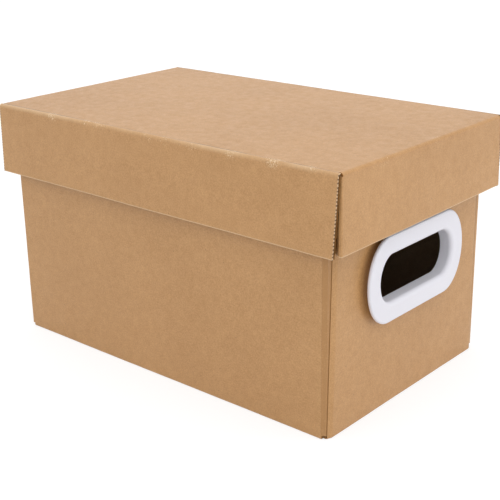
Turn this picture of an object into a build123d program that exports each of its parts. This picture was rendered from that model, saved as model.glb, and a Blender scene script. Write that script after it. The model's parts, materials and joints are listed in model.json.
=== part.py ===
"""Two-piece archival box of kraft corrugated board with a moulded grip in each end wall.

The base and the lid are each one die-cut blank, folded at its creases and glued at four corner
flaps. Every panel between creases is a part of its own, with the crease at its foot or top. On
the base the flaps belong to the long walls and are glued inside the end walls; on the lid they
belong to the end skirts and are glued inside the long skirts. Each grip is a bezel whose collar
passes through the hand hole and snaps into a clip ring on the inside.

X runs along the box, Y across it and Z up. The origin is the middle of the underside.
"""
import os

from build123d import *

# --- board --------------------------------------------------------------------------------
board = 1.8                     # thickness of the board
fold_radius = 2.0               # outside radius of a folded crease
liner = 0.32                    # paper on each side of the flutes
flute_pitch = 3.6               # from one flute to the next
flute_web = 0.3                 # fluting paper between two cells
flute_depth = 6.0               # how far the open cells are cut in from a raw edge

# --- base tray ----------------------------------------------------------------------------
base_length = 254.0
base_width = 158.0
base_height = 152.0
end_wall_inset_low = 2.4        # raw side edge of an end wall, in from the long wall's face
end_wall_inset_high = 5.6
base_flap_gap = 2.3             # from a flap's free end to the grip's clip ring
base_flap_taper = 4.0           # how far a flap narrows towards its free end, above and below

# --- lid ----------------------------------------------------------------------------------
lid_seat_gap = 0.3              # between the walls' rim and the lid
lid_side_clearance = 0.7        # from a long wall to the flaps inside the long skirts
lid_end_clearance = 7.1         # from an end wall to the end skirt
long_skirt_depth = 44.9
end_skirt_depth = 43.4
skirt_lean = 0.025              # how far a skirt stands out for each millimetre down
long_skirt_inset_high = 0.6     # raw end of a long skirt, in from the end skirt's face
long_skirt_inset_low = 2.7
lid_flap_length = 34.0
lid_flap_taper = 3.0

# --- grips --------------------------------------------------------------------------------
grip_centre = 80.8              # height of the grip's middle
grip_length = 97.4
grip_height = 51.6
grip_end = 19.4                 # half-length of the oval that rounds each end
grip_proud = 5.3                # bezel's face above the wall
grip_flange = 1.9               # thickness of the bezel's flange
grip_foot_inset = 6.4           # from the flange's rim in to the foot that stands on the wall
grip_skin = 1.5                 # moulded wall of the foot
grip_edge_radius = 1.2          # front of the flange's rim
grip_back_radius = 0.5
grip_lip_radius = 2.6           # round edge that the fingers hold
finger_length = 73.4
finger_height = 28.0
finger_end = 11.2
collar_wall = 1.5
hand_hole_clearance = 0.4       # from the collar to the cut board
clip_thickness = 1.2
clip_border = 6.5               # width of the clip ring around the collar
clip_clearance = 0.15
clip_edge_radius = 0.4
tooth_length = 7.0
tooth_height = 0.6
tooth_depth = 0.8
tooth_root = 0.3                # how far a tooth reaches into the collar's wall
tooth_spacing = 20.0
teeth_per_side = 3
rib_width = 1.0
rib_spacing = 12.0
ribs = 7

# --- worked out from the sizes above ------------------------------------------------------
fold_inside = fold_radius - board
lid_underside = base_height + lid_seat_gap
lid_top_z = lid_underside + board
lid_length = base_length + 2 * (lid_end_clearance + board)
lid_width = base_width + 2 * (lid_side_clearance + 2 * board)
collar_length = finger_length + 2 * collar_wall
collar_height = finger_height + 2 * collar_wall
collar_end = finger_end + collar_wall
collar_depth = board + clip_thickness
clip_length = collar_length + 2 * clip_border
clip_height = collar_height + 2 * clip_border
base_flap_length = (base_width - clip_length) / 2 - base_flap_gap
grip_foot = grip_proud - grip_flange

# The outer face of the right end wall, with its origin at the grip's middle.
grip_plane = Plane(origin=(base_length / 2, 0, grip_centre), x_dir=(0, 1, 0), z_dir=(1, 0, 0))


def fold_section(wall_end, slope=0.0):
    """A crease and the panel beyond it. The crease turns from level, at the sketch's origin, to
    upright; wall_end is the panel's far end, and slope is how far it leans out on the way."""
    lean = slope * (wall_end - fold_radius)
    with BuildSketch() as section:
        with BuildLine():
            CenterArc((0, fold_radius), fold_radius, 270, arc_size=90)
            Polyline(
                (fold_radius, fold_radius),
                (fold_radius + lean, wall_end),
                (fold_inside + lean, wall_end),
                (fold_inside, fold_radius),
            )
            CenterArc((0, fold_radius), fold_inside, 270, arc_size=90)
            Line((0, 0), (0, board))
        make_face()
    return section.sketch


def corner_fold():
    """A crease seen along its length: it turns from along the sketch's Y, at the origin, to
    along X."""
    with BuildSketch() as section:
        with BuildLine():
            CenterArc((-fold_radius, 0), fold_radius, 0, arc_size=90)
            Line((-fold_radius, fold_radius), (-fold_radius, fold_inside))
            CenterArc((-fold_radius, 0), fold_inside, 0, arc_size=90)
            Line((fold_inside - fold_radius, 0), (0, 0))
        make_face()
    return section.sketch


def oblong(length, height, end, grow=0.0):
    """A flat-sided outline with half-oval ends, grown outwards on all sides; end is an oval's
    half-length."""
    middle = length / 2 - end
    with BuildSketch() as section:
        with BuildLine():
            Line((-middle, height / 2 + grow), (middle, height / 2 + grow))
            EllipticalCenterArc(
                (middle, 0), end + grow, height / 2 + grow, -90, arc_size=180
            )
            Line((middle, -height / 2 - grow), (-middle, -height / 2 - grow))
            EllipticalCenterArc(
                (-middle, 0), end + grow, height / 2 + grow, 90, arc_size=180
            )
        make_face()
    return section.sketch


def flute_cells(span):
    """The open cells of a raw edge, centred, along the sketch's X over a span."""
    height = board - 2 * liner - flute_web
    half_base = flute_pitch / 2 - flute_web
    count = int(span / flute_pitch) - 1
    places = [(i - count / 2) * flute_pitch for i in range(count + 1)]
    with BuildSketch() as section:
        for direction, shift, number in ((1, 0.0, count + 1), (-1, flute_pitch / 2, count)):
            floor = -direction * (board / 2 - liner)
            with Locations(*[(place + shift, floor) for place in places[:number]]):
                Polygon((-half_base, 0), (half_base, 0), (0, direction * height), align=None)
    return section.sketch


def write_mirrored(piece, name, *planes):
    """Write a copy of a piece, mirrored about each plane in turn."""
    with BuildPart() as copy:
        add(piece)
        for plane in planes:
            mirror(about=plane, mode=Mode.REPLACE)
    copy.part.label = name
    export_step(copy.part, f"parts/{name}.step")


os.makedirs("parts", exist_ok=True)

# --- base tray ----------------------------------------------------------------------------
with BuildPart() as base_bottom:
    with BuildSketch():
        Rectangle(base_length - 2 * fold_radius, base_width - 2 * fold_radius)
    extrude(amount=board)

base_bottom.part.label = "base_bottom"
export_step(base_bottom.part, "parts/base_bottom.step")

# A long wall, with the creases that its two flaps hang on.
front_section = Plane(
    origin=(0, fold_radius - base_width / 2, 0), x_dir=(0, -1, 0), z_dir=(-1, 0, 0)
)
front_right_crease = Plane(
    origin=(base_length / 2 - board, fold_radius - base_width / 2, base_height),
    x_dir=(1, 0, 0),
    z_dir=(0, 0, -1),
)
with BuildPart() as base_front_wall:
    with BuildSketch(front_section):
        add(fold_section(base_height))
    extrude(amount=base_length / 2 - board - fold_radius, both=True)
    with BuildSketch(front_right_crease):
        add(corner_fold())
    extrude(amount=base_height - fold_radius)
    mirror(about=Plane.YZ)

base_front_wall.part.label = "base_front_wall"
export_step(base_front_wall.part, "parts/base_front_wall.step")
write_mirrored(base_front_wall.part, "base_back_wall", Plane.XZ)

# A glue flap inside the end wall.
with BuildPart() as base_flap_front_right:
    with BuildSketch(Plane.YZ.offset(base_length / 2 - board)):
        Polygon(
            (fold_radius - base_width / 2, fold_radius),
            (base_flap_length - base_width / 2, fold_radius + base_flap_taper),
            (base_flap_length - base_width / 2, base_height - base_flap_taper),
            (fold_radius - base_width / 2, base_height),
            align=None,
        )
    extrude(amount=-board)

base_flap_front_right.part.label = "base_flap_front_right"
export_step(base_flap_front_right.part, "parts/base_flap_front_right.step")
write_mirrored(base_flap_front_right.part, "base_flap_front_left", Plane.YZ)
write_mirrored(base_flap_front_right.part, "base_flap_back_right", Plane.XZ)
write_mirrored(base_flap_front_right.part, "base_flap_back_left", Plane.YZ, Plane.XZ)

# An end wall: its raw side edges draw in towards the rim, and it has the hand hole.
end_wall_foot = base_width / 2 - end_wall_inset_low
end_wall_rim = base_width / 2 - end_wall_inset_high
with BuildPart() as base_right_wall:
    with BuildSketch(Plane.XZ.move(Location((base_length / 2 - fold_radius, 0, 0)))):
        add(fold_section(base_height))
    extrude(amount=end_wall_foot, both=True)
    with BuildSketch(Plane.YZ):
        Polygon(
            (-end_wall_foot, 0),
            (end_wall_foot, 0),
            (end_wall_rim, base_height),
            (-end_wall_rim, base_height),
            align=None,
        )
    extrude(amount=base_length / 2, mode=Mode.INTERSECT)
    with BuildSketch(grip_plane):
        add(oblong(collar_length, collar_height, collar_end, hand_hole_clearance))
    extrude(amount=-board, mode=Mode.SUBTRACT)

base_right_wall.part.label = "base_right_wall"
export_step(base_right_wall.part, "parts/base_right_wall.step")
write_mirrored(base_right_wall.part, "base_left_wall", Plane.YZ)

# --- grips --------------------------------------------------------------------------------
# The bezel: a flange held off the wall by a ribbed foot, and a collar through it, with teeth.
tooth_places = [(i - (teeth_per_side - 1) / 2) * tooth_spacing for i in range(teeth_per_side)]
collar_back = base_length / 2 - collar_depth
tooth_crest = collar_back + tooth_depth * 2 / 3
tooth_front = collar_back + tooth_depth
foot_outline = oblong(grip_length, grip_height, grip_end, -grip_foot_inset)
with BuildPart() as right_grip_bezel:
    with BuildSketch(grip_plane.offset(grip_foot)):
        add(oblong(grip_length, grip_height, grip_end))
    extrude(amount=grip_flange)
    fillet(right_grip_bezel.faces().sort_by(Axis.X)[-1].edges(), grip_edge_radius)
    fillet(right_grip_bezel.faces().sort_by(Axis.X)[0].edges(), grip_back_radius)
    with BuildSketch(grip_plane):
        add(foot_outline)
        add(
            oblong(grip_length, grip_height, grip_end, -grip_foot_inset - grip_skin),
            mode=Mode.SUBTRACT,
        )
        with GridLocations(rib_spacing, 1, ribs, 1):
            Rectangle(rib_width, grip_height)
        add(foot_outline, mode=Mode.INTERSECT)
    extrude(amount=grip_foot)
    with BuildSketch(grip_plane.offset(grip_foot)):
        add(oblong(collar_length, collar_height, collar_end))
    extrude(amount=-grip_foot - collar_depth)
    for place in tooth_places:
        with BuildSketch(Plane.XZ.offset(-place)):
            for side in (1, -1):
                Polygon(
                    (collar_back, grip_centre + side * (collar_height / 2 - tooth_root)),
                    (collar_back, grip_centre + side * (collar_height / 2 + tooth_height / 3)),
                    (tooth_crest, grip_centre + side * (collar_height / 2 + tooth_height)),
                    (tooth_front, grip_centre + side * (collar_height / 2 + tooth_height)),
                    (tooth_front, grip_centre + side * (collar_height / 2 - tooth_root)),
                    align=None,
                )
        extrude(amount=tooth_length / 2, both=True)
    with BuildSketch(grip_plane.offset(grip_proud)):
        add(oblong(finger_length, finger_height, finger_end))
    extrude(amount=-grip_proud - collar_depth, mode=Mode.SUBTRACT)
    face = right_grip_bezel.faces().sort_by(Axis.X)[-1]
    fillet(face.inner_wires()[0].edges(), grip_lip_radius)

right_grip_bezel.part.label = "right_grip_bezel"
export_step(right_grip_bezel.part, "parts/right_grip_bezel.step")
write_mirrored(right_grip_bezel.part, "left_grip_bezel", Plane.YZ)

# The clip ring: it slides over the collar, and its pockets hold the teeth.
clip_plane = grip_plane.offset(-board)
with BuildPart() as right_grip_clip:
    with BuildSketch(clip_plane):
        add(oblong(clip_length, clip_height, collar_end + clip_border))
    extrude(amount=-clip_thickness)
    fillet(right_grip_clip.faces().sort_by(Axis.X)[0].edges(), clip_edge_radius)
    with BuildSketch(clip_plane):
        add(oblong(collar_length, collar_height, collar_end, clip_clearance))
    extrude(amount=-clip_thickness, mode=Mode.SUBTRACT)
    with BuildSketch(clip_plane.offset(-clip_thickness)):
        with Locations(*[(place, 0) for place in tooth_places]):
            Rectangle(
                tooth_length + 2 * clip_clearance,
                collar_height + 2 * (tooth_height + clip_clearance),
            )
    extrude(amount=tooth_depth + clip_clearance, mode=Mode.SUBTRACT)

right_grip_clip.part.label = "right_grip_clip"
export_step(right_grip_clip.part, "parts/right_grip_clip.step")
write_mirrored(right_grip_clip.part, "left_grip_clip", Plane.YZ)

# --- lid ----------------------------------------------------------------------------------
with BuildPart() as lid_top:
    with BuildSketch(Plane.XY.offset(lid_underside)):
        Rectangle(lid_length - 2 * fold_radius, lid_width - 2 * fold_radius)
    extrude(amount=board)

lid_top.part.label = "lid_top"
export_step(lid_top.part, "parts/lid_top.step")

# A long skirt: outermost at the corners, with raw ends that draw in towards the hem.
crease_z = lid_top_z - fold_radius
long_hem_z = lid_top_z - long_skirt_depth
long_lean = skirt_lean * (crease_z - long_hem_z)
skirt_edge_high = lid_length / 2 - long_skirt_inset_high
skirt_edge_low = lid_length / 2 - long_skirt_inset_low
front_skirt_section = Plane(
    origin=(0, fold_radius - lid_width / 2, lid_top_z), x_dir=(0, -1, 0), z_dir=(1, 0, 0)
)
# Looks along the raw end, with its origin on the middle of the board's thickness.
front_skirt_end = Plane(
    origin=(
        skirt_edge_high,
        (board - lid_width - long_lean) / 2,
        (crease_z + long_hem_z) / 2,
    ),
    x_dir=(0, -skirt_lean, -1),
    z_dir=(1, 0, 0),
)
with BuildPart() as lid_front_skirt:
    with BuildSketch(front_skirt_section):
        add(fold_section(long_skirt_depth, skirt_lean))
    extrude(amount=lid_length / 2, both=True)
    with BuildSketch(Plane.XZ):
        Polygon(
            (-skirt_edge_high, lid_top_z),
            (skirt_edge_high, lid_top_z),
            (skirt_edge_low, long_hem_z),
            (-skirt_edge_low, long_hem_z),
            align=None,
        )
    extrude(amount=lid_width, mode=Mode.INTERSECT)
    with BuildSketch(front_skirt_end):
        add(flute_cells(crease_z - long_hem_z))
    extrude(amount=skirt_edge_low - skirt_edge_high - flute_depth, mode=Mode.SUBTRACT)
    mirror(about=Plane.YZ, mode=Mode.INTERSECT)

lid_front_skirt.part.label = "lid_front_skirt"
export_step(lid_front_skirt.part, "parts/lid_front_skirt.step")
write_mirrored(lid_front_skirt.part, "lid_back_skirt", Plane.XZ)

# An end skirt, with the creases that its two flaps hang on.
end_hem_z = lid_top_z - end_skirt_depth
end_lean = skirt_lean * (crease_z - end_hem_z)
flap_face = lid_width / 2 - board
end_skirt_side = flap_face - fold_radius
lean_length = (1 + 2 * skirt_lean**2) ** 0.5
right_skirt_section = Plane(
    origin=(lid_length / 2 - fold_radius, 0, lid_top_z), x_dir=(1, 0, 0), z_dir=(0, 1, 0)
)
front_right_lid_crease = Plane(
    origin=(lid_length / 2, -end_skirt_side, crease_z), x_dir=(1, 0, 0), z_dir=(0, 0, -1)
)
right_hem = Plane(
    origin=(lid_length / 2 + end_lean - board / 2, 0, end_hem_z),
    x_dir=(0, 1, 0),
    z_dir=(0, 0, -1),
)
with BuildPart() as lid_right_skirt:
    with BuildSketch(right_skirt_section):
        add(fold_section(end_skirt_depth, skirt_lean))
    extrude(amount=lid_width / 2, both=True)
    with BuildSketch(Plane.YZ):
        Polygon(
            (-end_skirt_side, lid_top_z),
            (end_skirt_side, lid_top_z),
            (end_skirt_side, crease_z),
            (end_skirt_side + end_lean, end_hem_z),
            (-end_skirt_side - end_lean, end_hem_z),
            (-end_skirt_side, crease_z),
            align=None,
        )
    extrude(amount=lid_length, mode=Mode.INTERSECT)
    with BuildSketch(front_right_lid_crease):
        add(corner_fold())
    extrude(
        amount=(crease_z - end_hem_z) * lean_length, dir=(skirt_lean, -skirt_lean, -1)
    )
    mirror(about=Plane.XZ)
    with BuildSketch(right_hem):
        add(flute_cells(2 * end_skirt_side))
    extrude(amount=flute_depth, dir=(-skirt_lean, 0, 1), mode=Mode.SUBTRACT)

lid_right_skirt.part.label = "lid_right_skirt"
export_step(lid_right_skirt.part, "parts/lid_right_skirt.step")
write_mirrored(lid_right_skirt.part, "lid_left_skirt", Plane.YZ)

# A glue flap inside the long skirt, and as steep as it.
flap_root = lid_length / 2 - fold_radius
flap_free = lid_length / 2 - lid_flap_length
flap_hem = Plane(
    origin=((flap_root + flap_free) / 2, board / 2 - flap_face - end_lean, end_hem_z),
    x_dir=(1, 0, 0),
    z_dir=(0, 0, -1),
)
with BuildPart() as lid_flap_front_right:
    with BuildSketch(Plane.YZ):
        Polygon(
            (-flap_face, crease_z),
            (-flap_face - end_lean, end_hem_z),
            (board - flap_face - end_lean, end_hem_z),
            (board - flap_face, crease_z),
            align=None,
        )
    extrude(amount=lid_length)
    with BuildSketch(Plane.XZ):
        Polygon(
            (flap_root, crease_z),
            (flap_root + end_lean, end_hem_z),
            (flap_free + end_lean + lid_flap_taper, end_hem_z),
            (flap_free, crease_z - lid_flap_taper),
            (flap_free + lid_flap_taper, crease_z),
            align=None,
        )
    extrude(amount=lid_width, mode=Mode.INTERSECT)
    with BuildSketch(flap_hem):
        add(flute_cells(flap_root - flap_free - 2 * lid_flap_taper))
    extrude(amount=flute_depth, dir=(0, skirt_lean, 1), mode=Mode.SUBTRACT)

lid_flap_front_right.part.label = "lid_flap_front_right"
export_step(lid_flap_front_right.part, "parts/lid_flap_front_right.step")
write_mirrored(lid_flap_front_right.part, "lid_flap_front_left", Plane.YZ)
write_mirrored(lid_flap_front_right.part, "lid_flap_back_right", Plane.XZ)
write_mirrored(lid_flap_front_right.part, "lid_flap_back_left", Plane.YZ, Plane.XZ)
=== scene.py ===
"""Looks of the archival box: every panel of its two folded blanks as real corrugated board, with
liners, fluting and soft creases, and its two moulded finger grips.

A panel is modelled flat, outer face up, in layers like the real board, and its creases are spun
down from it. Then it is stood up in the place that the frame gives it.
"""
import json
import math
from functools import partial

import bmesh
import bpy
import numpy as np
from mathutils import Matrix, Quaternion, Vector

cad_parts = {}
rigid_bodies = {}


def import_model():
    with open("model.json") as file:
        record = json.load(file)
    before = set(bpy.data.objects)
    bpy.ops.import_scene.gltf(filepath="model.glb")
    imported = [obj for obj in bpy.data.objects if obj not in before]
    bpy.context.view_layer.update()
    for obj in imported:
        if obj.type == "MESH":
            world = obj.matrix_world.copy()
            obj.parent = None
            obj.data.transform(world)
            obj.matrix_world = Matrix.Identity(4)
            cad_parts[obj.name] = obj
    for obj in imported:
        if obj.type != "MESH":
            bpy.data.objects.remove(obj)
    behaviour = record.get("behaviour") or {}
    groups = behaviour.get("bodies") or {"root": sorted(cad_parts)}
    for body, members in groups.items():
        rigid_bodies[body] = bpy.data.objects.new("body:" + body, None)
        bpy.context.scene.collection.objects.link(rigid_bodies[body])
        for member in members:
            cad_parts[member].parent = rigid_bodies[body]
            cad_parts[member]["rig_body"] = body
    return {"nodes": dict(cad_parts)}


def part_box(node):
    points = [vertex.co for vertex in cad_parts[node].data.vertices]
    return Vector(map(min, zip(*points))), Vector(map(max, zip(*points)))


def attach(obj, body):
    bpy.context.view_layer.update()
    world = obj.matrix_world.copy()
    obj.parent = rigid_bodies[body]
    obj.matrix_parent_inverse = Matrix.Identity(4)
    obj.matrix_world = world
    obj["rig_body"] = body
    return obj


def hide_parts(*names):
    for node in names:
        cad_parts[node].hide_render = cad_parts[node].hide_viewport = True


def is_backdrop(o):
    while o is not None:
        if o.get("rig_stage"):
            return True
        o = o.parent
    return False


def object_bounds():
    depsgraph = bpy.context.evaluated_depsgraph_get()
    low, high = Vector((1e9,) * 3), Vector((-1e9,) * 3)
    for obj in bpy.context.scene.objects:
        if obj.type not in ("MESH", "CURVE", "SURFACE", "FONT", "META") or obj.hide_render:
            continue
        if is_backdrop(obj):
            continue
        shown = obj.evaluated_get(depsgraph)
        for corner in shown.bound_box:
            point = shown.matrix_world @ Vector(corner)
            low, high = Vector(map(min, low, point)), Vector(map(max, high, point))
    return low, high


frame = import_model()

cad_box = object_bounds()

bl_info = {
    "name": "Archival box",
    "version": (1, 0, 0),
    "blender": (4, 5, 0),
    "location": "View3D > Sidebar > Box",
    "description": "Builds an archival box of corrugated kraft board with moulded finger grips",
    "category": "Add Mesh",
}

MM = 0.001
UPRIGHT = math.pi / 2
RIGHT, BACK = math.pi / 2, math.pi  # turns of a wall that faces front
X, Y, Z = Vector((1, 0, 0)), Vector((0, 1, 0)), Vector((0, 0, 1))
CLOSE = 1e-5  # two points this near are at one place, in metres
FACING = 0.9  # a face whose normal is this far along an axis faces that way
SMOOTH_ANGLE = math.radians(35)  # a sharper edge than this stays sharp
SENSOR = 36  # width of the camera's sensor, in millimetres
WHITE = (1, 1, 1, 1)

# Sizes that the frame gives.
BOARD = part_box("base_bottom")[1].z
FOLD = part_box("base_bottom")[0].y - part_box("base_front_wall")[0].y


# --- sizes and colours ---
def linear(sheet):
    """An sRGB hex colour as linear RGBA."""
    parts = [int(sheet[i:i + 2], 16) / 255 for i in (1, 3, 5)]
    return [p / 12.92 if p <= 0.04045 else ((p + 0.055) / 1.055) ** 2.4 for p in parts] + [1.0]


def number(name, default, description, **unit):
    return bpy.props.FloatProperty(name=name, description=description, default=default, **unit)


def length(name, millimetres, description):
    return number(name, millimetres * MM, description, unit="LENGTH")


def angle(name, degrees, description):
    return number(name, math.radians(degrees), description, unit="ROTATION")


def colour(name, sheet, description):
    return bpy.props.FloatVectorProperty(
        name=name, description=description, default=linear(sheet), subtype="COLOR", size=4
    )


class BoardSettings(bpy.types.PropertyGroup):
    """Make-up of the corrugated board and of its folds."""

    liner: length("Liner", 0.32, "Paper on each face of the flutes")
    medium: length("Fluting", 0.22, "Paper that the flutes are made of")
    pitch: length("Flute pitch", 3.6, "From one flute to the next")
    cells: length("Open cells", 9.0, "How far the flutes can be seen into from a raw edge")
    raw_recess: length("Raw recess", 0.12, "Fluting behind the liners, at a raw edge")
    flute_gap: length("Flute gap", 0.4, "How much shorter the open flutes are than their raw edge")
    grid: length("Grid", 4.0, "Squares that a liner is divided into")
    crease_band: length("Crease band", 3.0, "Paper strained by a crease, beside its bend")
    crease_line: length("Crease line", 1.2, "Paper next to the bend, which is strained most")
    # Its pale line is partly frayed fibre and partly a painted highlight of the cut edge.
    cut_band: length("Cut band", 0.6, "Paper frayed by the cutter, beside a raw edge")
    crease_steps: bpy.props.IntProperty(
        name="Crease steps", description="Flats that round a crease", default=14
    )
    corner: length("Corner radius", 0.7, "Outside of the tight upright creases that the flaps hang on")
    crush_band: length("Crush band", 2.6, "Board that the cutter crushes, beside a raw edge")
    crush: length("Crush", 1.4, "How much thinner a crushed edge is")
    flap_ramp: length("Flap ramp", 9.0, "Length in which a lid flap meets the skirt it is glued to")
    flap_hollow: length("Flap hollow", 3.6, "How far a lid flap stands off, half way along its ramp")
    drift: length("Drift", 0.3, "How far the panels wander from flat")
    drift_size: length("Drift size", 70, "How far apart those are, about a hand's width")
    ripple: length("Ripple", 0.15, "How far an edge wanders from straight")
    ripple_size: length("Ripple size", 9, "How far apart those ripples are, about two flutes")


class BlankSettings(bpy.types.PropertyGroup):
    """Cuts of the two blanks that their boxes don't give."""

    end_wall_draw: length("End wall draw", 4.2, "Each raw side edge of an end wall, from foot to rim")
    end_wall_strip: length("End wall strip", 30, "Width beside each of those edges that draws in")
    base_flap_taper: length("Base flap taper", 4.0, "Each end of a base flap's free edge")
    skirt_draw: length("Skirt draw", 3.2, "A long skirt's right-hand raw end, from crease to hem")
    skirt_draw_left: length("Skirt draw left", 1.2, "Its left-hand raw end, from crease to hem")
    lid_flap_taper: length("Lid flap taper", 3.0, "A lid flap's free edge, from crease to hem")
    hole_length: length("Hand hole length", 77.2, "Hole in an end wall, which the grip covers")
    hole_height: length("Hand hole height", 31.8, "Hole in an end wall, which the grip covers")
    hole_end: length("Hand hole end", 13.1, "Half-length of the oval that rounds the hole's end")
    hole_points: bpy.props.IntProperty(
        name="Hand hole points", description="Flats that round those two ovals", default=66
    )
    lid_corner: length("Lid corner", 0.5, "How far an end skirt's creases reach past the top's ends")
    skirt_lean: length("Skirt lean", 1.07, "How far the lid's skirts stand out at their hems")
    hem_tilt: length("Hem tilt", 0.5, "How far the front hem is low at its right and high at its left")
    top_sag: length("Top sag", 0.4, "How far the lid's back edge dips in its middle")
    front_sag: number("Front sag", 0.3, "How much of that sag its front edge has")
    hem_bulge: length("Hem bulge", 0.8, "How far the long hems bow out in their middle")
    hem_dip: length("Hem dip", 0.8, "How far the end hems are pulled down by their grips")


class KraftSettings(bpy.types.PropertyGroup):
    """Colours of the paper."""

    liner: colour("Liner", "#CE9E69", "Kraft liner")
    # Also the colour that the painted shade on pressed creases and flap roots darkens towards.
    dark: colour("Dark fibres", "#AF814E", "Darker patches of the liner")
    # Also the painted highlight on crease ridges and along cut edges.
    pale: colour("Cut paper", "#E6C9A3", "Torn and cut edges, and cracked fibres")
    # Darker partly for its fibre and partly as painted shade of the open cells at a raw edge.
    fluting: colour("Fluting", "#7E562E", "Fluting, which has more recycled fibre")
    inner: colour("Inner liner", "#A98F70", "Inner liner, which is recycled and greyer")
    inner_dark: colour("Inner liner's fibres", "#8B7154", "Darker patches of the inner liner")
    shive: colour("Shives", "#6E4E2C", "Dark slivers of wood in the liner")
    # Painted shade in a crease's scored groove.
    groove_shade: colour("Groove", "#7E5A36", "Scored line of a crease")
    # Painted shade in the notches of a raw edge.
    notch_shade: colour("Notches", "#5E3E22", "Notches that a toothed rule cuts in a raw edge")


class GripSettings(bpy.types.PropertyGroup):
    """Colours of the grips' plastic."""

    white: colour("White", "#E9E8EF", "Moulded plastic")
    flow: colour("Flow marks", "#E6E5ED", "Its slightly darker patches")


class StageSettings(bpy.types.PropertyGroup):
    """Camera and lamps."""

    azimuth: angle("Azimuth", 40.945, "Camera round the box, from its front")
    elevation: angle("Elevation", 19.866, "Camera above the horizon")
    roll: angle("Roll", -0.872, "Camera about its own axis")
    aim: bpy.props.FloatVectorProperty(
        name="Aim", description="Point that the camera looks at",
        default=(2.911 * MM, 2.609 * MM, 60.427 * MM), subtype="XYZ", unit="LENGTH",
    )
    distance: length("Distance", 700.7, "From the camera to that point")
    lens: number("Lens", 77.36, "Focal length on a 36 mm sensor", unit="CAMERA")
    sky: number("Sky", 0.39, "Even light from all round")
    left: number("Left", 0.3, "Broad light from the front left")
    fill: number("Fill", 0.35, "Broad light from the camera's side")
    right: number("Right", 0.35, "Broad light from the right")
    above: number("Above", 1.5, "Broad light from above")
    key: number("Key lamp", 11.5, "Power of the key lamp", unit="POWER")
    key_turn: angle("Key turn", 30, "Key lamp round the box, from its right-hand end to its back")
    key_rise: angle("Key rise", 8, "Key lamp above the horizon")
    key_distance: length("Key distance", 3000, "From the key lamp to the box")
    key_size: length("Key size", 300, "Side of the key lamp, which is a square soft box")
    floor: length("Floor", 12000, "Side of the floor")
    floor_grey: number("Floor grey", 0.8, "How pale the floor is to the box above it")
    backdrop_grey: number("Backdrop grey", 0.35, "How pale it is to the camera, by its light")
    backdrop_glow: number("Backdrop glow", 0.72, "How much its own glow adds to that")


# --- working in edit mode ---
def work_on(piece):
    bpy.ops.object.select_all(action="DESELECT")
    piece.select_set(True)
    bpy.context.view_layer.objects.active = piece


def edit(piece):
    work_on(piece)
    bpy.ops.object.mode_set(mode="EDIT")


def choose(kind, test):
    """Selects what passes the test, out of the edited mesh's "VERT", "EDGE" or "FACE" items. The
    test gets an item and its middle."""
    mesh = bpy.context.edit_object.data
    shape = bmesh.from_edit_mesh(mesh)
    bpy.context.tool_settings.mesh_select_mode = [kind == k for k in ("VERT", "EDGE", "FACE")]
    bpy.ops.mesh.select_all(action="DESELECT")
    for item in {"VERT": shape.verts, "EDGE": shape.edges, "FACE": shape.faces}[kind]:
        if kind == "VERT":
            middle = item.co
        elif kind == "EDGE":
            middle = (item.verts[0].co + item.verts[1].co) / 2
        else:
            middle = item.calc_center_median()
        if test(item, middle):
            item.select_set(True)
    shape.select_flush_mode()
    bmesh.update_edit_mesh(mesh)


def leave_edit():
    bpy.ops.object.mode_set(mode="OBJECT")


def settle_place(piece):
    work_on(piece)
    bpy.ops.object.transform_apply(location=True, rotation=True, scale=True)


def named(name):
    """What was just made, with a name for it and for its data."""
    thing = bpy.context.object
    thing.name = thing.data.name = name
    return thing


def added(add, name, **settings):
    """What one of Blender's operators adds, with nothing else selected."""
    bpy.ops.object.select_all(action="DESELECT")
    add(**settings)
    return named(name)


def add_block(name, low, high):
    """A closed block from its low to its high corner."""
    low, high = Vector(low), Vector(high)
    cube = bpy.ops.mesh.primitive_cube_add
    piece = added(cube, name, size=1, location=(low + high) / 2, scale=high - low)
    settle_place(piece)
    return piece


def runs_along(axis):
    def test(edge, middle):
        run = edge.verts[1].co - edge.verts[0].co
        return abs(run[axis]) > 0.7 * run.length
    return test


def divide(axis, cuts):
    """Cuts the edited block across one axis, evenly."""
    if cuts > 0:
        choose("EDGE", runs_along(axis))
        bpy.ops.mesh.subdivide(number_cuts=cuts)


def cut_line(place, across):
    """Adds a line of edges across the edited mesh, through a point."""
    bpy.ops.mesh.select_all(action="SELECT")
    bpy.ops.mesh.bisect(plane_co=place, plane_no=across)


def outward():
    bpy.ops.mesh.select_all(action="SELECT")
    bpy.ops.mesh.normals_make_consistent(inside=False)


def apply_modifier(piece, kind, **settings):
    work_on(piece)
    bpy.ops.object.modifier_add(type=kind)
    modifier = piece.modifiers[-1]
    for name, value in settings.items():
        setattr(modifier, name, value)
    bpy.ops.object.modifier_apply(modifier=modifier.name)


def add_cage(low, high, counts, curved):
    """A lattice that bends what is inside it, from its low to its high corner."""
    cage = added(bpy.ops.object.add, "cage", type="LATTICE", location=(low + high) / 2)
    cage.scale = high - low
    cage.data.points_u, cage.data.points_v, cage.data.points_w = counts
    kind = "KEY_BSPLINE" if curved else "KEY_LINEAR"
    for axis in "uvw":
        setattr(cage.data, "interpolation_type_" + axis, kind)
    return cage


def push_cage(cage, push):
    """Moves the cage's points: push gets a point's place from -1 to 1 and gives a distance."""
    for point in cage.data.points:
        place = Vector(round(2 * c, 3) for c in point.co)
        shift = push(place)
        point.co_deform = point.co + Vector(shift[i] / cage.scale[i] for i in range(3))
    bpy.context.view_layer.update()


def bend(cage, pieces):
    for piece in pieces:
        apply_modifier(piece, "LATTICE", object=cage)
    work_on(cage)
    bpy.ops.object.delete()


def join(name, layers):
    work_on(layers[0])
    for layer in layers:
        layer.select_set(True)
    bpy.ops.object.join()
    return named(name)


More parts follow.
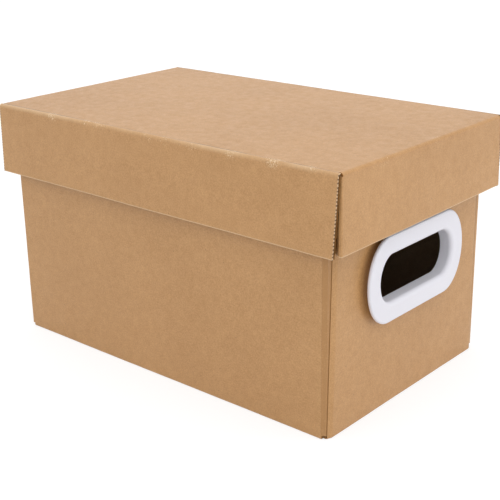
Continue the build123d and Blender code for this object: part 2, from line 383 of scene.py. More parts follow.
# --- materials ---
def add_node(tree, kind, settings=(), *values, out=0, **inputs):
    """A shader node with its settings, and each input either a constant or another node's output.
    The values are its first inputs. The others are named as in the shader editor, with _ for a
    space. Gives the output that out says, or the node itself where that is None."""
    node = tree.nodes.new("ShaderNode" + kind)
    for name, value in dict(settings).items():
        setattr(node, name, value)
    for name, value in [*enumerate(values), *inputs.items()]:
        if isinstance(name, str):
            name = int(name[1:]) if name[0] == "_" else name.replace("_", " ")
        socket = node.inputs[name]
        if isinstance(value, bpy.types.NodeSocket):
            tree.links.new(value, socket)
        else:
            socket.default_value = value
    return node if out is None else node.outputs[out]


def per_mm(size):
    """Texture scale, in metres, of a pattern whose parts are a size in millimetres."""
    return 1 / (size * MM)


def adder(owner):
    """Empties a material's or a world's nodes, and gives add_node for them."""
    owner.use_nodes = True
    owner.node_tree.nodes.clear()
    return partial(add_node, owner.node_tree)


def new_material(name):
    material = bpy.data.materials.new(name)
    return material, adder(material)


def finish_shader(add, **inputs):
    add("OutputMaterial", out=None, Surface=add("BsdfPrincipled", **inputs))


# What the nodes below are often set to.
MULTIPLY = {"operation": "MULTIPLY"}
MULTIPLY_ADD = {"operation": "MULTIPLY_ADD"}
CLAMPED_ADD = {"operation": "MULTIPLY_ADD", "use_clamp": True}
MAXIMUM = {"operation": "MAXIMUM"}
COLOURS = {"data_type": "RGBA"}
MIXED = 2  # output of a mix node that has the mixed colour
WAVE_PERIOD = math.pi / 10  # from band to band of a wave texture, at a scale of 1


def testliner(name, light, dark, pale, rough, raw=False):
    """Kraft liner, machine made and uncoated: dull, with cloudy fibre, a few dark shives, a faint
    washboard from the flutes and pale cracked fibre on creases and cuts. It also has painted shade on
    pressed creases and flap roots, in the grooves of scored creases and in the notches of raw ends,
    and painted highlights on the ridges of creases and along cut edges."""
    kraft = bpy.context.scene.box_kraft
    material, add = new_material(name)
    place = add("TexCoord", out="Object")
    sheet = add("UVMap", {"uv_map": "board"})
    crease, cut, burnish, score, ridge, saw = (
        add("Attribute", {"attribute_name": strain}, out="Fac") for strain in STRAINS
    )
    cloud, fibre, tone, crack, patch = (
        add("TexNoise", Vector=place, Scale=per_mm(size), Detail=detail, Roughness=roughness)
        for size, detail, roughness in (
            (5.0, 4.0, 0.6),  # cloudiness of the paper
            (0.8, 3.0, 0.7),  # fibres: 0.03 mm wide, and drawn coarser to show at all
            (60.0, 2.0, 0.5),  # slow change of tone over a hand's width
            (0.9, 4.0, 0.75),  # cracked fibre
            (22.0, 1.0, 0.5),  # where the creases crack and where they don't
        )
    )
    # Bands across the flutes: the teeth of the cutter's rule, 1.9 mm apart, which place the notches
    # that get painted shade, and the flutes.
    teeth, wave = (
        add(
            "TexWave", {"wave_type": "BANDS", "bands_direction": "X"}, out="Fac",
            Vector=sheet, Scale=WAVE_PERIOD * per_mm(pitch), Distortion=distortion, Detail=detail,
        )
        for pitch, distortion, detail in ((1.9, 3.5, 2.0), (3.6, 0.6, 1.0))
    )

    # Cloudy, fibrous paper, darkened on pressed creases and on the roots of hinged flaps: partly their
    # burnish, and partly painted shade for the recessed corners where those folds stand.
    cloudy = add("Math", MULTIPLY_ADD, cloud, 0.6, -1.0)
    grained = add("Math", MULTIPLY_ADD, fibre, 1.9, cloudy)
    toned = add("Math", CLAMPED_ADD, tone, 0.5, grained)
    burnished_and_shaded = add("Math", CLAMPED_ADD, burnish, 0.55, toned)
    fibre_and_crease_shade = add("Mix", COLOURS, out=MIXED, _0=burnished_and_shaded, _6=light, _7=dark)

    # Shives are about 0.6 mm long, and there is about one to a square centimetre.
    sliver = add("TexVoronoi", Vector=place, Scale=per_mm(9.0), Randomness=1.0)
    shive = add("MapRange", Value=sliver, From_Min=0.035, From_Max=0.05, To_Min=0.45, To_Max=0.0)
    specked = add("Mix", COLOURS, out=MIXED, _0=shive, _6=fibre_and_crease_shade, _7=kraft.shive)

    # The scored line of a crease, with painted shade in its groove and a painted highlight on its
    # ridge, comes and goes.
    uneven = add("MapRange", Value=tone, From_Min=0.42, From_Max=0.52, To_Min=0.4, To_Max=1.0)
    groove_shade_mask, ridge_highlight_mask = (add("Math", MULTIPLY, line, uneven) for line in (score, ridge))
    with_groove_shade = add("Mix", COLOURS, out=MIXED, _0=groove_shade_mask, _6=specked, _7=kraft.groove_shade)

    # Cracked fibre: pale flecks of 0.5 mm on the creases, and a pale line along the cuts, partly
    # frayed fibre and partly a painted highlight of the cut edge. On the board's face, the ridges'
    # painted highlight is added to them.
    if raw:
        paleness = add("Math", CLAMPED_ADD, crack, 0.6, 0.35)
    else:
        both = add("Math", MULTIPLY, crack, patch)
        fleck = add("MapRange", Value=both, From_Min=0.375, From_Max=0.39, To_Min=0.0, To_Max=1.0)
        ragged = add("Math", MULTIPLY_ADD, crack, 0.8, 0.42)
        creased = add("Math", MULTIPLY, fleck, crease)
        fray_and_edge_highlight = add("Math", MULTIPLY, ragged, cut)
        flecks_and_edge_light = add("Math", MAXIMUM, creased, fray_and_edge_highlight)
        paleness = add("Math", MULTIPLY_ADD, ridge_highlight_mask, 0.45, flecks_and_edge_light)
    edged = add("Mix", COLOURS, out=MIXED, _0=paleness, _6=with_groove_shade, _7=pale)

    # Painted shade: dark notches where the teeth leave gaps in a raw edge across the flutes.
    toothed = add("Math", MULTIPLY, teeth, saw)
    notch_shade_mask = add("MapRange", Value=toothed, From_Min=0.46, From_Max=0.62, To_Min=0.0, To_Max=0.85)
    shown = add("Mix", COLOURS, out=MIXED, _0=notch_shade_mask, _6=edged, _7=kraft.notch_shade)

    # Washboard: the liner sinks a little between the flutes, and a crease presses that flat.
    flat = add("MapRange", Value=crease, From_Min=0.0, From_Max=1.0, To_Min=1.0, To_Max=0.1)
    sunk = add("Math", MULTIPLY, wave, flat)
    washboard = add("Bump", Strength=0.28, Distance=0.05 * MM, Height=sunk)
    fuzz = add("Bump", Strength=0.35, Distance=0.08 * MM, Height=fibre, Normal=washboard)
    shiny, dull = rough - 0.05, rough + 0.05
    patchy = add("MapRange", Value=cloud, From_Min=0.3, From_Max=0.7, To_Min=shiny, To_Max=dull)
    finish_shader(add, Base_Color=shown, Roughness=patchy, Normal=fuzz, IOR=1.5)
    return material


def semichemical_fluting(name, light, dark):
    """Fluting medium, with more recycled fibre than the liner: duller and specked, and darker, partly
    for that fibre and partly as painted shade of the deep open cells that it lines at a raw edge.
    """
    material, add = new_material(name)
    place = add("TexCoord", out="Object")
    # Its fibres are drawn as coarse as the liner's.
    grain = add("TexNoise", Vector=place, Scale=per_mm(0.8), Detail=3.0, Roughness=0.7)
    brown = add("Mix", COLOURS, out=MIXED, _0=grain, _6=light, _7=dark)
    bump = add("Bump", Strength=0.4, Distance=0.1 * MM, Height=grain)
    # Its open fibre hardly shines, even at a grazing angle.
    finish_shader(add, Base_Color=brown, Roughness=0.95, Normal=bump, IOR=1.15)
    return material


def moulded_polypropylene(white, flow):
    """White polypropylene, injection moulded in a lightly sparked tool: a soft satin sheen with a
    very fine grain, and slightly darker patches where it flowed."""
    material, add = new_material("moulded_polypropylene")
    place = add("TexCoord", out="Object")
    # Spark grain is 0.05 mm. It is drawn at 0.35 mm to show at all.
    grain, streak = (
        add("TexNoise", Vector=place, Scale=per_mm(size), Detail=2.0)
        for size in (0.35, 25.0)
    )
    tint = add("Mix", COLOURS, out=MIXED, _0=streak, _6=white, _7=flow)
    rough = add("MapRange", Value=grain, From_Min=0.3, From_Max=0.7, To_Min=0.34, To_Max=0.46)
    bump = add("Bump", Strength=0.15, Distance=0.02 * MM, Height=grain)
    finish_shader(add, Base_Color=tint, Roughness=rough, Normal=bump, IOR=1.49)
    return material


# How each paper of the board is made, from its name and from c, the colours.
PAPERS = {
    "kraft_testliner": lambda name, c: testliner(name, c.liner, c.dark, c.pale, 0.41),
    "kraft_testliner_cut": lambda name, c: testliner(name, c.liner, c.dark, c.pale, 0.9, True),
    "recycled_testliner": lambda name, c: testliner(name, c.inner, c.inner_dark, c.inner, 0.9),
    "semichemical_fluting": lambda name, c: semichemical_fluting(name, c.fluting, c.dark),
}


def paper(name):
    """One of the board's papers, which is made once."""
    return bpy.data.materials.get(name) or PAPERS[name](name, bpy.context.scene.box_kraft)


# --- corrugated board ---
# The four sides of a flat panel: the axis across each, and the way outwards along it.
SIDES = {"left": (0, -1), "right": (0, 1), "near": (1, -1), "far": (1, 1)}
# What a side is: "crease" has a soft bend of its own, and "pressed" has a bend with one flat.
# "square" has a tight bend that goes right out to the box's corner, and "tight" has one that
# stops short of it. "joined" meets a neighbour's bend and "hinged" the inside of one. "fluted"
# is raw and shows the flutes' ends, "plain" is raw and runs along the flutes, and "crushed" is
# like it, but rolled over by the cutter.
BENDS = ("crease", "pressed", "square", "tight")


def side_at(low, high, side):
    """Where a side of a panel is, along the axis across it."""
    axis, way = SIDES[side]
    return (high if way > 0 else low)[axis]


def inside_side(low, high, side):
    """How far a point is inside one side of a panel, as a function of the point."""
    axis, way = SIDES[side]
    edge = side_at(low, high, side)
    return lambda point: way * (edge - point[axis])


def choose_end(low, high, side):
    """Selects the end faces of the edited layer on one side."""
    depth_in = inside_side(low, high, side)
    axis = SIDES[side][0]
    bounds = [inside_side(low, high, s) for s in SIDES if SIDES[s][0] != axis]
    choose(
        "FACE",
        lambda face, middle: abs(depth_in(middle)) < CLOSE
        and abs(face.normal[axis]) > FACING
        and all(bound(middle) > 0 for bound in bounds),
    )


def extrude_to(shift):
    bpy.ops.mesh.extrude_region_move(TRANSFORM_OT_translate={"value": shift})


def spin_crease(low, high, side, radius, steps):
    """Turns one end of the edited layer down about the crease on that side."""
    axis, way = SIDES[side]
    choose_end(low, high, side)
    pivot = Vector((0, 0, -radius))
    pivot[axis] = side_at(low, high, side)
    # A spin turns the other way here than its angle's sign says.
    turn = way if axis == 1 else -way
    axle = X if axis == 1 else Y
    bpy.ops.mesh.spin(steps=steps, angle=turn * math.pi / 2, center=pivot, axis=axle)
    if radius < FOLD:
        extrude_to(Z * (radius - FOLD))


def turn_down(low, high, side, kind, top):
    """A layer's crease. In a tight one only the outer liner turns: the layers under it stop."""
    board = bpy.context.scene.box_board
    axis, way = SIDES[side]
    out = (X, Y)[axis] * way
    reach = FOLD - board.corner if kind == "square" else 0
    if kind in ("crease", "pressed"):
        spin_crease(low, high, side, FOLD, board.crease_steps if kind == "crease" else 1)
    elif top < BOARD / 2:
        choose_end(low, high, side)
        if top > board.liner / 2:
            extrude_to(out * (reach + board.corner - board.liner))
            return
        if reach > 0:
            extrude_to(out * reach)
            low, high = list(low), list(high)
            (high if way > 0 else low)[axis] += way * reach
        spin_crease(low, high, side, board.corner, board.crease_steps)


def cut_bands(low, high, sides, slants):
    """Cuts lines beside each side of the edited layer, for the strain there to fade between."""
    board = bpy.context.scene.box_board
    for side, kind in sides.items():
        axis, way = SIDES[side]
        raw = kind in ("fluted", "plain", "crushed")
        wide = board.crush_band if raw else board.crease_band
        narrow = board.cut_band if raw else board.crease_line
        lean = slants.get(side, 0.0) / (high[1] - low[1])
        for depth in (wide, narrow, narrow / 2):
            place = Vector((0, high[1], 0))
            place[axis] = side_at(low, high, side) - way * depth
            cut_line(place, X + Y * lean if axis == 0 else Y)


def add_layer(name, low, high, top, thickness, sides, shape, grid, slants=None):
    """One layer of a flat panel, from a depth below its face, with its creases turned down. Where
    slants are given, the layer also gets the lines for its bands of strain."""
    layer = add_block(name, (*low, -top - thickness), (*high, -top))
    edit(layer)
    if shape:
        shape(low, high)
    for axis in (0, 1):
        divide(axis, round((high[axis] - low[axis]) / grid) - 1)
    if slants is not None:
        cut_bands(low, high, sides, slants)
    for side, kind in sides.items():
        if kind in BENDS:
            turn_down(low, high, side, kind, top)
    outward()
    leave_edit()
    return layer


def add_flutes(span, reach):
    """A strip of fluting waved along X, centred, that reaches along -Y from its raw edge."""
    board = bpy.context.scene.box_board
    steps = 8  # columns of points in one wave
    waves = round(span / board.pitch)
    crest = (BOARD - 2 * board.liner - board.medium) / 2
    half = Vector((span, 0, board.medium)) / 2
    strip = add_block("fluting", -half - Y * reach, half)
    edit(strip)
    divide(0, waves * steps - 1)
    column = span / (waves * steps)
    for phase in range(steps):
        choose("VERT", lambda vertex, middle: round((middle.x + span / 2) / column) % steps == phase)
        bpy.ops.transform.translate(value=(0, 0, crest * math.cos(2 * math.pi * phase / steps)))
    outward()
    # The flutes' ends are frayed where they are glued to the outer liner.
    strip.data.materials.append(paper("semichemical_fluting"))
    strip.data.materials.append(paper("kraft_testliner_cut"))
    choose("FACE", lambda face, middle: face.normal.y > FACING and middle.z > crest / 3)
    strip.active_material_index = 1
    bpy.ops.object.material_slot_assign()
    leave_edit()
    return strip


def place_flutes(low, high, side, slant):
    """Fluting behind one raw side of a flat panel; slant is how far that side draws in."""
    board = bpy.context.scene.box_board
    axis, way = SIDES[side]
    other = 1 - axis
    span = high[other] - low[other]
    strip = add_flutes(span - board.flute_gap, board.cells)
    turn = {"far": 0, "left": RIGHT, "near": BACK, "right": -RIGHT}[side]
    place = Vector((0, 0, -BOARD / 2))
    place[other] = (high[other] + low[other]) / 2
    place[axis] = side_at(low, high, side) - way * (board.raw_recess + abs(slant) / 2)
    strip.rotation_euler.z = turn + math.atan(slant / span)
    strip.location = place
    settle_place(strip)
    return strip


# What a sheet's points are marked with: strained by a crease; frayed by a cut, which also carries a
# painted highlight of the cut edge; painted shade on a pressed crease and a flap's root, partly their
# burnish; painted shade in a crease's scored groove; a painted highlight on its ridge; and painted
# shade in the notches of a toothed rule.
STRAINS = ("crease", "cut", "burnish", "score", "ridge", "saw")


def mark_board(piece, low, high, sides, along, slants):
    """Writes the sheet's own coordinates, across and along its flutes, and how much of each kind
    of strain each point has. slants says how far a side draws in, from its far to its near end."""
    board = bpy.context.scene.box_board
    mesh = piece.data
    points = np.zeros(len(mesh.vertices) * 3)
    mesh.vertices.foreach_get("co", points)
    points = points.reshape(-1, 3)
    corners = np.zeros(len(mesh.loops), int)
    mesh.loops.foreach_get("vertex_index", corners)
    fold = np.maximum(0, -points[:, 2] - BOARD)
    sheet = np.stack([points[:, 1 - along] + fold, points[:, along]], axis=1)
    mesh.uv_layers.new(name="board").data.foreach_set("uv", sheet[corners].ravel())
    drop = np.maximum(0, high[1] - points[:, 1]) / (high[1] - low[1])
    # How wide each kind of strain is, and how far past the panel's side each kind of side has it.
    for name, band, kinds in (
        ("crease", board.crease_band, {"crease": 0, "joined": 0}),
        # Pale line along a raw edge: partly frayed fibre, partly a painted highlight of the edge.
        ("cut", board.cut_band, {"fluted": 0, "plain": 0}),
        # Painted shade: pressed creases, and the first crease band of a hinged flap's root, are
        # darkened, partly as the burnish of a pressed fold.
        ("burnish", board.cut_band / 2, {"pressed": 0, "hinged": -board.crease_band}),
        # Painted shade in a crease's scored groove, and a painted highlight on the ridge past its
        # bend.
        ("score", board.cut_band * 2, {"joined": 0}),
        ("ridge", FOLD + board.cut_band, {"crease": FOLD}),
        # Painted shade in the notches of a raw fluted edge.
        ("saw", board.cut_band * 2, {"fluted": 0}),
    ):
        strain = np.zeros(len(points))
        for side, kind in sides.items():
            axis, way = SIDES[side]
            # Only a crease along the flutes gets its painted groove shade and ridge highlight, and
            # only a slanted cut shows the painted shade of notches.
            soft = name in ("score", "ridge") and axis == along
            clean = name == "saw" and side not in slants
            if kind in kinds and not soft and not clean:
                past = kinds[kind] - abs(slants.get(side, 0.0)) * drop
                edge = side_at(low, high, side) + way * past
                strain = np.maximum(strain, 1 - way * (edge - points[:, axis]) / band)
        mesh.attributes.new(name, "FLOAT", "POINT").data.foreach_set("value", np.clip(strain, 0, 1))


def paint_cuts(low, high, sides, draw):
    """Gives the edited layer's raw edges its second material; draw is the most that one slants."""
    raw = [
        (*SIDES[side], inside_side(low, high, side))
        for side, kind in sides.items() if kind in ("fluted", "plain")
    ]
    choose("FACE", lambda face, middle: any(
        face.normal[axis] * way > FACING and inside(middle) < draw + CLOSE
        for axis, way, inside in raw
    ))
    bpy.context.object.active_material_index = 1
    bpy.ops.object.material_slot_assign()


def board_panel(name, low, high, sides, along, shape=None, slants=None, draw=0.0, hole=None):
    """A panel of corrugated board, flat and with its outer face up: two liners, the fluting
    pressed solid between them, and open flutes at its fluted sides. low and high are its corners
    without creases, along is the flutes' axis, shape draws its outline in, by up to draw, slants
    says how far each raw fluted side then slants, and hole cuts a hole through each layer."""
    board = bpy.context.scene.box_board
    slants = slants or {}
    core_low, core_high = list(low), list(high)
    # The pressed core stays this far behind a raw side, and goes right up to any other.
    recess = {"fluted": board.cells, "plain": board.raw_recess, "crushed": board.raw_recess}
    for side, kind in sides.items():
        axis, way = SIDES[side]
        corner = core_high if way > 0 else core_low
        corner[axis] -= way * recess.get(kind, 0.0)
    layers = []
    for layer_name, top, face, cut in (
        ("outer_liner", 0.0, "kraft_testliner", "kraft_testliner_cut"),
        ("inner_liner", BOARD - board.liner, "recycled_testliner", "semichemical_fluting"),
    ):
        layer = add_layer(layer_name, low, high, top, board.liner, sides, shape, board.grid, slants)
        layer.data.materials.append(paper(face))
        layer.data.materials.append(paper(cut))
        edit(layer)
        paint_cuts(low, high, sides, draw)
        if top > 0:
            # The side that faces the open flutes is as brown as they are.
            choose("FACE", lambda face, middle: face.normal.z > 0.5)
            bpy.ops.object.material_slot_assign()
        leave_edit()
        layers.append(layer)
    core = add_layer(
        "core", core_low, core_high, board.liner, BOARD - 2 * board.liner,
        sides, shape, 2 * board.grid,
    )
    core.data.materials.append(paper("semichemical_fluting"))
    layers.append(core)
    if hole:
        for layer in layers:
            hole(layer)
    for side, kind in sides.items():
        if kind == "fluted":
            layers.append(place_flutes(low, high, side, slants.get(side, 0.0)))
    piece = join(name, layers)
    mark_board(piece, low, high, sides, along, slants)
    work_on(piece)
    bpy.ops.object.shade_smooth_by_angle(angle=SMOOTH_ANGLE)
    return piece


def cut_hand_hole(layer):
    """Cuts the hole for the grip's collar through a layer of an end wall."""
    cuts = bpy.context.scene.box_blanks
    low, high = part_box("right_grip_bezel")
    cylinder = bpy.ops.mesh.primitive_cylinder_add
    cutter = added(cylinder, "cutter", vertices=cuts.hole_points, radius=1, depth=4 * BOARD)
    cutter.location.y = (low.z + high.z) / 2
    edit(cutter)
    bpy.ops.mesh.select_all(action="SELECT")
    bpy.ops.transform.resize(value=(cuts.hole_end, cuts.hole_height / 2, 1))
    for way in (-1, 1):
        choose("VERT", lambda vertex, middle: middle.x * way > 0)
        bpy.ops.transform.translate(value=(way * (cuts.hole_length / 2 - cuts.hole_end), 0, 0))
    leave_edit()
    settle_place(cutter)
    apply_modifier(layer, "BOOLEAN", operation="DIFFERENCE", solver="EXACT", object=cutter)
    work_on(cutter)
    bpy.ops.object.delete()


def draw_in(side, low_end, high_end):
    """A shape that narrows the panel along one side, by an amount at each end."""
    def shape(low, high):
        other = 1 - SIDES[side][0]
        edge = inside_side(low, high, side)
        middle = (low[other] + high[other]) / 2
        for end, amount in ((-1, low_end), (1, high_end)):
            choose(
                "VERT",
                lambda vertex, point: abs(edge(point)) < CLOSE and (point[other] - middle) * end > 0,
            )
            shift = Vector()
            shift[other] = -end * amount
            bpy.ops.transform.translate(value=shift)
    return shape


def bend_side(piece, low, high, side, width, columns, push):
    """Bends a strip along the left or right side of a flat panel. push gets the place of each
    point of its cage, with x from -1 inside to 1 at the side, and gives its shift."""
    way = SIDES[side][1]
    low, high = Vector((*low, -BOARD)), Vector((*high, 0))
    if way > 0:
        low.x = high.x - width
    else:
        high.x = low.x + width
    cage = add_cage(low, high, (columns, 2, 2), False)
    push_cage(cage, lambda place: push(Vector((place.x * way, place.y, place.z))))
    bend(cage, [piece])


def copy_of(piece, name):
    """Another piece like one that still lies flat, with a mesh of its own."""
    work_on(piece)
    bpy.ops.object.duplicate()
    return named(name)


def stand_up(piece, face, turn):
    """Stands a flat panel up in its place: face is how far its outer face is from the middle."""
    piece.rotation_euler = (UPRIGHT, 0, turn)
    piece.location = Vector((math.sin(turn), -math.cos(turn), 0)) * face
    settle_place(piece)


def finish_panel(piece, node, body):
    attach(piece, body)
    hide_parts(node)


def flat_panel(node, body, turn, height):
    """A panel that lies flat and meets a bend on each side. It gets its turn about X."""
    low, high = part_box(node)
    joined = dict.fromkeys(SIDES, "joined")
    piece = board_panel(node + "_board", low[:2], high[:2], joined, along=0)
    piece.rotation_euler.x = turn
    piece.location.z = height
    settle_place(piece)
    finish_panel(piece, node, body)


def wall_pair(first, second, face, piece, body, turn):
    """Stands a flat wall up on one side of the box and a copy of it on the other."""
    other = copy_of(piece, second + "_board")
    stand_up(piece, face, turn)
    finish_panel(piece, first, body)
    stand_up(other, face, turn + BACK)
    finish_panel(other, second, body)


# --- operators ---
class BoxOperator:
    """What the operators share."""

    bl_options = {"REGISTER", "UNDO"}


class BOX_OT_base_bottom(BoxOperator, bpy.types.Operator):
    """Build the bottom of the base"""

    bl_idname = "box.base_bottom"
    bl_label = "Base bottom"

    def execute(self, context):
        flat_panel("base_bottom", "base", BACK, 0)
        return {"FINISHED"}


class BOX_OT_base_long_walls(BoxOperator, bpy.types.Operator):
    """Build the base's front and back walls, with the creases that its flaps hang on"""

    bl_idname = "box.base_long_walls"
    bl_label = "Base long walls"

    def execute(self, context):
        low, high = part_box("base_front_wall")
        reach = high.x - FOLD
        sides = {"left": "square", "right": "pressed", "near": "square", "far": "plain"}
        piece = board_panel(
            "base_front_wall_board", (-reach, FOLD), (reach, high.z), sides, along=0
        )
        wall_pair("base_front_wall", "base_back_wall", -low.y, piece, "base", 0)
        return {"FINISHED"}


class BOX_OT_base_end_walls(BoxOperator, bpy.types.Operator):
    """Build the base's end walls, with their hand holes"""

    bl_idname = "box.base_end_walls"
    bl_label = "Base end walls"

    def execute(self, context):
        board, cuts = context.scene.box_board, context.scene.box_blanks
        low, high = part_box("base_right_wall")
        corners = (low.y, FOLD), (high.y, high.z)
        sides = {"left": "crushed", "right": "crushed", "near": "square", "far": "fluted"}
        piece = board_panel("base_right_wall_board", *corners, sides, along=1, hole=cut_hand_hole)
        for side in ("left", "right"):
            way = SIDES[side][1]

            def crushed(place):
                return Z * (-board.crush if min(place.x, place.z) > 0 else 0)

            def drawn(place):
                return X * (-way * cuts.end_wall_draw * (1 + place.y) / 2 if place.x > 0 else 0)

            bend_side(piece, *corners, side, board.crush_band, 2, crushed)
            bend_side(piece, *corners, side, cuts.end_wall_strip, 2, drawn)
        wall_pair("base_right_wall", "base_left_wall", high.x, piece, "base", RIGHT)
        return {"FINISHED"}


class BOX_OT_base_flaps(BoxOperator, bpy.types.Operator):
    """Build the base's four glue flaps, inside its end walls"""

    bl_idname = "box.base_flaps"
    bl_label = "Base flaps"

    def execute(self, context):
        taper = context.scene.box_blanks.base_flap_taper
        for first, second, root, free in (
            ("base_flap_front_right", "base_flap_back_left", "left", "right"),
            ("base_flap_back_right", "base_flap_front_left", "right", "left"),
        ):
            low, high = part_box(first)
            sides = {root: "hinged", free: "fluted", "near": "plain", "far": "plain"}
            piece = board_panel(
                first + "_board", low[1:], high[1:], sides, along=0,
                shape=draw_in(free, taper, taper), draw=taper,
            )
            wall_pair(first, second, high.x, piece, "base", RIGHT)
        return {"FINISHED"}


class BOX_OT_lid_top(BoxOperator, bpy.types.Operator):
    """Build the top of the lid"""

    bl_idname = "box.lid_top"
    bl_label = "Lid top"

    def execute(self, context):
        flat_panel("lid_top", "lid", 0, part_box("lid_top")[1].z)
        return {"FINISHED"}


class BOX_OT_lid_long_skirts(BoxOperator, bpy.types.Operator):
    """Build the lid's long skirts, with raw fluted ends"""

    bl_idname = "box.lid_long_skirts"
    bl_label = "Lid long skirts"

    def execute(self, context):
        cuts = context.scene.box_blanks
        low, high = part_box("lid_front_skirt")
        sides = {"left": "fluted", "right": "fluted", "near": "plain", "far": "crease"}
        piece = board_panel(
            "lid_front_skirt_board", (low.x, low.z), (high.x, high.z - FOLD), sides, along=0,
            shape=draw_in("near", cuts.skirt_draw_left, cuts.skirt_draw),
            slants={"left": cuts.skirt_draw_left, "right": -cuts.skirt_draw},
            draw=cuts.skirt_draw,
        )
        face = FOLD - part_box("lid_top")[0].y
        wall_pair("lid_front_skirt", "lid_back_skirt", face, piece, "lid", 0)
        return {"FINISHED"}


class BOX_OT_lid_end_skirts(BoxOperator, bpy.types.Operator):
    """Build the lid's end skirts, with the creases that its flaps hang on"""

    bl_idname = "box.lid_end_skirts"
    bl_label = "Lid end skirts"

    def execute(self, context):
        low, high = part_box("lid_right_skirt")
        top_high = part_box("lid_top")[1]
        reach = top_high.y - BOARD + context.scene.box_blanks.lid_corner
        sides = {"left": "tight", "right": "tight", "near": "fluted", "far": "crease"}
        piece = board_panel(
            "lid_right_skirt_board", (-reach, low.z), (reach, high.z - FOLD), sides, along=1
        )
        face = top_high.x + FOLD
        wall_pair("lid_right_skirt", "lid_left_skirt", face, piece, "lid", RIGHT)
        return {"FINISHED"}


class BOX_OT_lid_flaps(BoxOperator, bpy.types.Operator):
    """Build the lid's four glue flaps, inside its long skirts"""

    bl_idname = "box.lid_flaps"
    bl_label = "Lid flaps"

    def execute(self, context):
        board, cuts = context.scene.box_board, context.scene.box_blanks
        top_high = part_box("lid_top")[1]
        face = top_high.y + FOLD - BOARD
        # How far the flap is behind the skirt: where its ramp starts, half way, and at its root.
        drops = {-1: 0.0, 0: board.flap_hollow, 1: FOLD - board.corner - cuts.lid_corner}
        for first, second, root, free in (
            ("lid_flap_front_right", "lid_flap_back_left", "right", "left"),
            ("lid_flap_front_left", "lid_flap_back_right", "left", "right"),
        ):
            low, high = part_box(first)
            way = SIDES[free][1]
            inner = min(abs(low.x), abs(high.x))
            start, end = sorted((-way * top_high.x, -way * inner))
            corners = (start, low.z), (end, high.z)
            sides = {root: "hinged", free: "plain", "near": "fluted", "far": "plain"}
            tapers = (0, cuts.lid_flap_taper) if way > 0 else (cuts.lid_flap_taper, 0)
            piece = board_panel(
                first + "_board", *corners, sides, along=1,
                shape=draw_in("near", *tapers), draw=cuts.lid_flap_taper,
            )
            bend_side(
                piece, *corners, root, board.flap_ramp, 3, lambda place: Z * -drops[round(place.x)]
            )
            wall_pair(first, second, face, piece, "lid", 0)
        return {"FINISHED"}


def boards_on(body):
    return [o for o in bpy.data.objects if o.name.endswith("_board") and o["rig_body"] == body]


class BOX_OT_lid_flare(BoxOperator, bpy.types.Operator):
    """Flare the lid's skirts, bow its long hems and let its back edge sag"""

    bl_idname = "box.lid_flare"
    bl_label = "Lid flare"

    def execute(self, context):
        cuts = context.scene.box_blanks
        folds = Vector((FOLD, FOLD, 0))
        low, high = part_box("lid_top")
        low, high = low - folds, high + folds
        low.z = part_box("lid_front_skirt")[0].z
        flare = add_cage(low, high - Z * FOLD, (2, 2, 2), False)

        def lean(place):
            if place.z > 0:
                return Vector()
            tilt = -cuts.hem_tilt * place.x if place.y < 0 else 0
            return Vector((place.x * cuts.skirt_lean, place.y * cuts.skirt_lean, tilt))

        push_cage(flare, lean)
        bend(flare, boards_on("lid"))
        sag = add_cage(low, high, (5, 3, 2), True)

        def push(place):
            middle = 1 - abs(place.x)
            if place.z > 0:
                share = 1 if place.y > 0 else cuts.front_sag
                return Z * (-cuts.top_sag * middle * share)
            dip = cuts.hem_dip * (1 - max(place.x * place.y, abs(place.y) / 2)) * (abs(place.x) == 1)
            return Vector((0, place.y * cuts.hem_bulge * middle, -dip))

        push_cage(sag, push)
        bend(sag, boards_on("lid"))
        return {"FINISHED"}


class BOX_OT_drift(BoxOperator, bpy.types.Operator):
    """Let all the board wander a little from flat, within the box's overall size"""

    bl_idname = "box.drift"
    bl_label = "Drift"

    def execute(self, context):
        board = context.scene.box_board
        pieces = boards_on("base") + boards_on("lid")
        for name in ("drift", "ripple"):
            clouds = bpy.data.textures.new(name, "CLOUDS")
            clouds.cloud_type = "COLOR"
            clouds.noise_scale = getattr(board, name + "_size")
            clouds.noise_depth = 1
            for piece in pieces:
                apply_modifier(
                    piece, "DISPLACE", texture=clouds, texture_coords="LOCAL",
                    direction="RGB_TO_XYZ", strength=getattr(board, name),
                )
        low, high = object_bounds()
        share = [(cad_box[1][i] - cad_box[0][i]) / (high[i] - low[i]) for i in range(3)]
        shift = [cad_box[0][i] - low[i] * share[i] for i in range(3)]
        for piece in pieces:
            # The lid is what reaches the box's sides, so the base keeps its own width.
            for i in (0, 1, 2) if piece["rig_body"] == "lid" else (2,):
                piece.scale[i] = share[i]
                piece.location[i] = shift[i]
            settle_place(piece)
        return {"FINISHED"}


class BOX_OT_grips(BoxOperator, bpy.types.Operator):
    """Finish the grips' bezels and clip rings in moulded plastic"""

    bl_idname = "box.grips"
    bl_label = "Grips"

    def execute(self, context):
        grips = context.scene.box_grips
        plastic = moulded_polypropylene(grips.white, grips.flow)
        for name, node in frame["nodes"].items():
            if "grip" in name:
                node.material_slots[0].material = plastic
        return {"FINISHED"}


def seen_directly(add):
    """1 where a ray shows the stage itself, and 0 where it only lights the box."""
    path = add("LightPath", out=None)
    seen = path.outputs["Is Camera Ray"]
    for name in ("Is Glossy Ray", "Is Transmission Ray"):
        seen = add("Math", MAXIMUM, seen, path.outputs[name])
    return seen


def direction(turn, rise):
    """The way from the box, by a turn from +X towards +Y and a rise above the horizon."""
    level = Vector((math.cos(turn), math.sin(turn), 0))
    return level * math.cos(rise) + Z * math.sin(rise)


def point_at(thing, way, roll=0.0):
    """Turns a lamp or a camera to face a way."""
    thing.rotation_mode = "QUATERNION"
    thing.rotation_quaternion = way.to_track_quat("-Z", "Y") @ Quaternion(Z, roll)


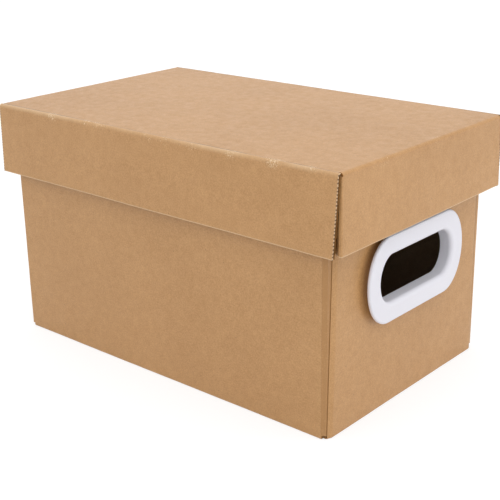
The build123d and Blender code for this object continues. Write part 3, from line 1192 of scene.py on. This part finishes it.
class BOX_OT_stage(BoxOperator, bpy.types.Operator):
    """Build the floor, the light and the camera"""

    bl_idname = "box.stage"
    bl_label = "Stage"

    def execute(self, context):
        stage = context.scene.box_stage
        self.add_floor(stage)
        self.add_sky(context, stage)
        self.add_lamp(stage)
        self.add_camera(context, stage)
        context.scene.view_settings.view_transform = "Standard"
        return {"FINISHED"}

    def add_floor(self, stage):
        """A pale floor, that the camera sees as a white backdrop with the box's shadow on it."""
        floor = added(bpy.ops.mesh.primitive_plane_add, "studio_floor", size=stage.floor)
        material, add = new_material("studio_floor")
        pale, shaded = (
            add("BsdfDiffuse", Color=(grey, grey, grey, 1))
            for grey in (stage.floor_grey, stage.backdrop_grey)
        )
        glow = add("Emission", Color=WHITE, Strength=stage.backdrop_glow)
        backdrop = add("AddShader", _0=shaded, _1=glow)
        shown = add("MixShader", _0=seen_directly(add), _1=pale, _2=backdrop)
        add("OutputMaterial", out=None, Surface=shown)
        floor.data.materials.append(material)
        floor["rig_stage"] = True

    def add_sky(self, context, stage):
        """Even light, and broad lights from the front left, from the camera's side, from the
        right and from above. The camera sees it white."""
        world = bpy.data.worlds.new("studio")
        add = adder(world)
        way = add("TexCoord", out="Generated")
        strength = stage.sky
        for middle, power, share in (
            ((-0.5, -0.86, 0.3), 3, stage.left),
            ((0.65, -0.76, 0.25), 4, stage.fill),
            ((1.0, 0.15, 0.1), 4, stage.right),
            ((0.0, 0.0, 1.0), 3, stage.above),
        ):
            towards = Vector(middle).normalized()
            facing = add("VectorMath", {"operation": "DOT_PRODUCT"}, way, towards, out="Value")
            near = add("Math", MAXIMUM, facing, 0.0)
            lobe = add("Math", {"operation": "POWER"}, near, power)
            strength = add("Math", MULTIPLY_ADD, lobe, share, strength)
        light, white = (add("Background", Color=WHITE, Strength=power) for power in (strength, 1.0))
        shown = add("MixShader", _0=seen_directly(add), _1=light, _2=white)
        add("OutputWorld", out=None, Surface=shown)
        context.scene.world = world

    def add_lamp(self, stage):
        """A square soft box that faces the box."""
        way = direction(stage.key_turn, stage.key_rise)
        place = way * stage.key_distance
        lamp = added(bpy.ops.object.light_add, "key_lamp", type="AREA", location=place)
        lamp.data.energy = stage.key
        lamp.data.size = stage.key_size
        # The board's sheen is only the room's: the lamp leaves no hot spot on the lid.
        lamp.visible_glossy = False
        point_at(lamp, -way)

    def add_camera(self, context, stage):
        back = direction(stage.azimuth - math.pi / 2, stage.elevation)
        place = Vector(stage.aim) + back * stage.distance
        camera = added(bpy.ops.object.camera_add, "studio_camera", location=place)
        camera.data.lens = stage.lens
        camera.data.sensor_width = SENSOR
        point_at(camera, -back, stage.roll)
        context.scene.camera = camera


OPERATORS = BoxOperator.__subclasses__()  # in the order that they run in
SETTINGS = {
    "box_board": BoardSettings,
    "box_blanks": BlankSettings,
    "box_kraft": KraftSettings,
    "box_grips": GripSettings,
    "box_stage": StageSettings,
}


class BOX_PT_panel(bpy.types.Panel):
    """The box's pieces and settings"""

    bl_idname = "BOX_PT_panel"
    bl_label = "Archival box"
    bl_space_type = "VIEW_3D"
    bl_region_type = "UI"
    bl_category = "Box"

    def draw(self, context):
        for operator in OPERATORS:
            self.layout.operator(operator.bl_idname)
        for name, settings in SETTINGS.items():
            box = self.layout.box()
            for setting in settings.__annotations__:
                box.prop(getattr(context.scene, name), setting)


CLASSES = (*SETTINGS.values(), *OPERATORS, BOX_PT_panel)


def register():
    for kind in CLASSES:
        bpy.utils.register_class(kind)
    for name, settings in SETTINGS.items():
        setattr(bpy.types.Scene, name, bpy.props.PointerProperty(type=settings))


def unregister():
    for name in SETTINGS:
        delattr(bpy.types.Scene, name)
    for kind in reversed(CLASSES):
        bpy.utils.unregister_class(kind)


def main():
    register()
    for operator in OPERATORS:
        getattr(bpy.ops.box, operator.bl_idname.split(".")[1])()


if __name__ == "__main__":
    main()
